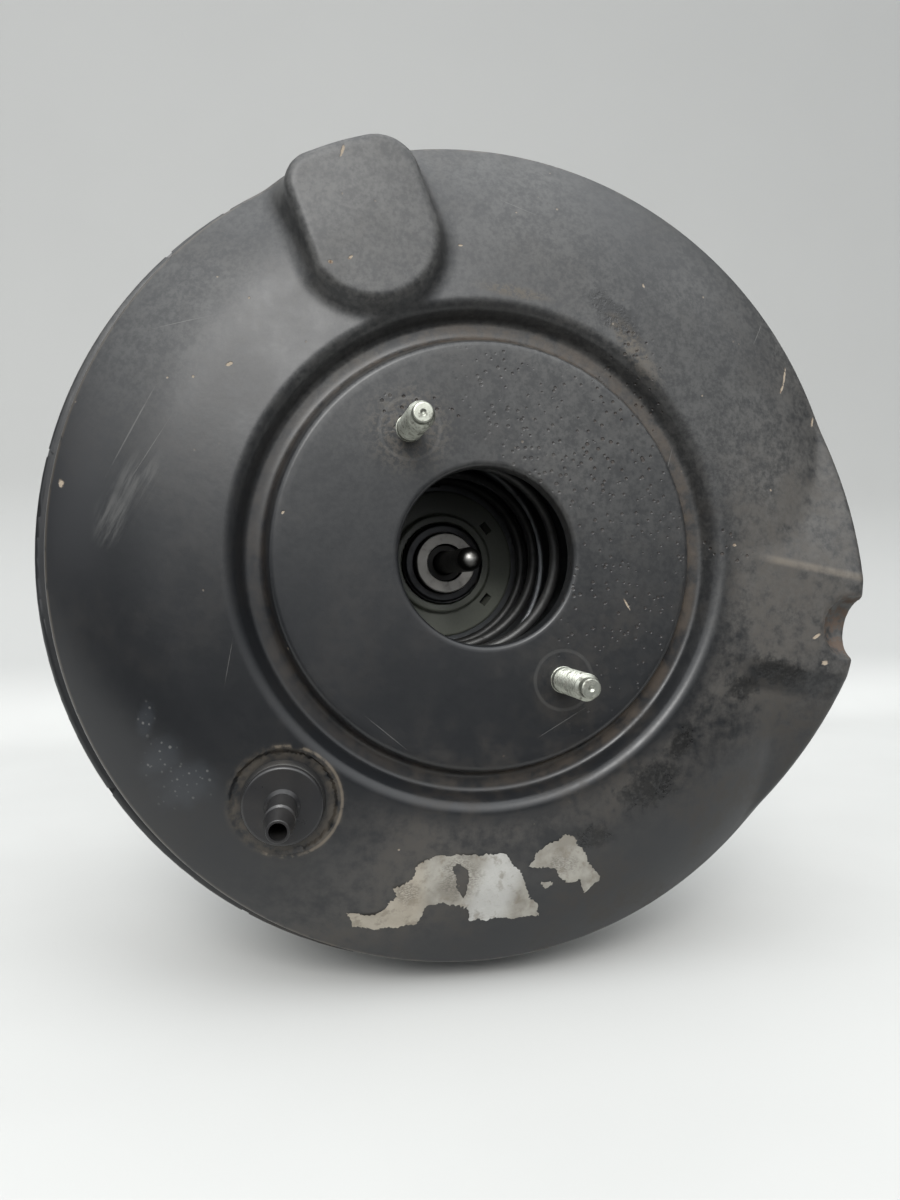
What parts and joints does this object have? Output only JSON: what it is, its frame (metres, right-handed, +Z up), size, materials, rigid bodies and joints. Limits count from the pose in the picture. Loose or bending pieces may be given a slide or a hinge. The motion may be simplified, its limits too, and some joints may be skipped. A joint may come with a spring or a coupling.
{
  "type": "vacuum brake booster",
  "caption": "Single-diaphragm vacuum brake booster: pressed steel shells with crimped rim, master cylinder and bulkhead studs, check valve, power piston, input rod with clevis.",
  "frame": {"origin": "centre of the face that bolts against the bulkhead, on the booster's axis", "axes": "+Y from the bulkhead face towards the pedal, along the booster's axis; -Y towards the master cylinder; +Z up"},
  "size_m": [0.2688, 0.2735, 0.2688],
  "materials": {
    "black_paint": "satin black paint on pressed steel, worn",
    "bare_steel": "rolled steel, oiled",
    "zinc_steel": "zinc plated, dull silver",
    "spring_steel": "dark phosphated spring wire",
    "plate_steel": "galvanised sheet, grey",
    "rod_steel": "turned steel with a polished tip",
    "black_rubber": "matt black rubber",
    "black_plastic": "moulded black plastic, semi-matt",
    "white_plastic": "moulded natural plastic",
    "piston_plastic": "moulded dark grey-green thermoset",
    "filter_foam": "open grey foam"
  },
  "bodies": {
    "housing": {"front_shell": "black_paint", "rear_shell": "black_paint", "front_reinforcement": "bare_steel", "rear_reinforcement": "bare_steel", "master_cylinder_studs": "zinc_steel", "bulkhead_studs": "zinc_steel", "check_valve_grommet": "black_rubber", "check_valve_body": "black_plastic", "check_valve_base": "black_plastic", "check_valve_spring": "spring_steel", "hub_bearing": "white_plastic", "hub_seal": "black_rubber", "seal_retainer": "zinc_steel", "diaphragm": "black_rubber", "dust_boot": "black_rubber", "return_spring": "spring_steel"},
    "check_valve_poppet": {"check_valve_disc": "black_rubber"},
    "power_piston": {"valve_body": "piston_plastic", "diaphragm_plate": "plate_steel", "output_rod": "rod_steel", "rod_retainer": "zinc_steel", "reaction_disc": "black_rubber", "stop_key": "zinc_steel", "silencer": "filter_foam", "air_filter": "filter_foam", "filter_retainer": "black_plastic", "poppet_sleeve": "black_rubber", "poppet_retainer": "zinc_steel", "poppet_spring": "spring_steel", "rod_return_spring": "spring_steel"},
    "control_poppet": {"poppet": "black_rubber"},
    "plunger": {"valve_plunger": "rod_steel"},
    "input_rod": {"input_rod": "zinc_steel", "rod_spring_seat": "zinc_steel", "lock_nut": "zinc_steel", "clevis": "zinc_steel"}
  },
  "joints": [
    {"name": "power_piston_slide", "type": "slide", "parent": "housing", "child": "power_piston", "axis": [0, -1, 0], "range_m": [0, 0.036], "stiffness_N_per_m": 1800, "springref_m": -0.06, "deforming": ["return_spring", "diaphragm", "dust_boot"]},
    {"name": "plunger_slide", "type": "slide", "parent": "power_piston", "child": "plunger", "axis": [0, -1, 0], "range_m": [0, 0.0025], "stiffness_N_per_m": 2500, "springref_m": -0.008, "deforming": ["rod_return_spring", "poppet_spring"]},
    {"name": "poppet_slide", "type": "slide", "parent": "power_piston", "child": "control_poppet", "axis": [0, -1, 0], "range_m": [0, 0.000875], "deforming": ["poppet_sleeve"]},
    {"name": "input_rod_swivel", "type": "hinge", "parent": "plunger", "child": "input_rod", "pos_m": [0, 0.0015, 0], "axis": [1, 0, 0], "range_deg": [-3, 3]},
    {"name": "check_valve_lift", "type": "slide", "parent": "housing", "child": "check_valve_poppet", "axis": [-0.0675, -0.9945, -0.0798], "range_m": [0, 0.002], "stiffness_N_per_m": 30, "springref_m": -0.004, "deforming": ["check_valve_spring"]}
  ],
  "couplings": [
    {"joint": "poppet_slide", "follows": "plunger_slide", "ratio": 0.35}
  ]
}
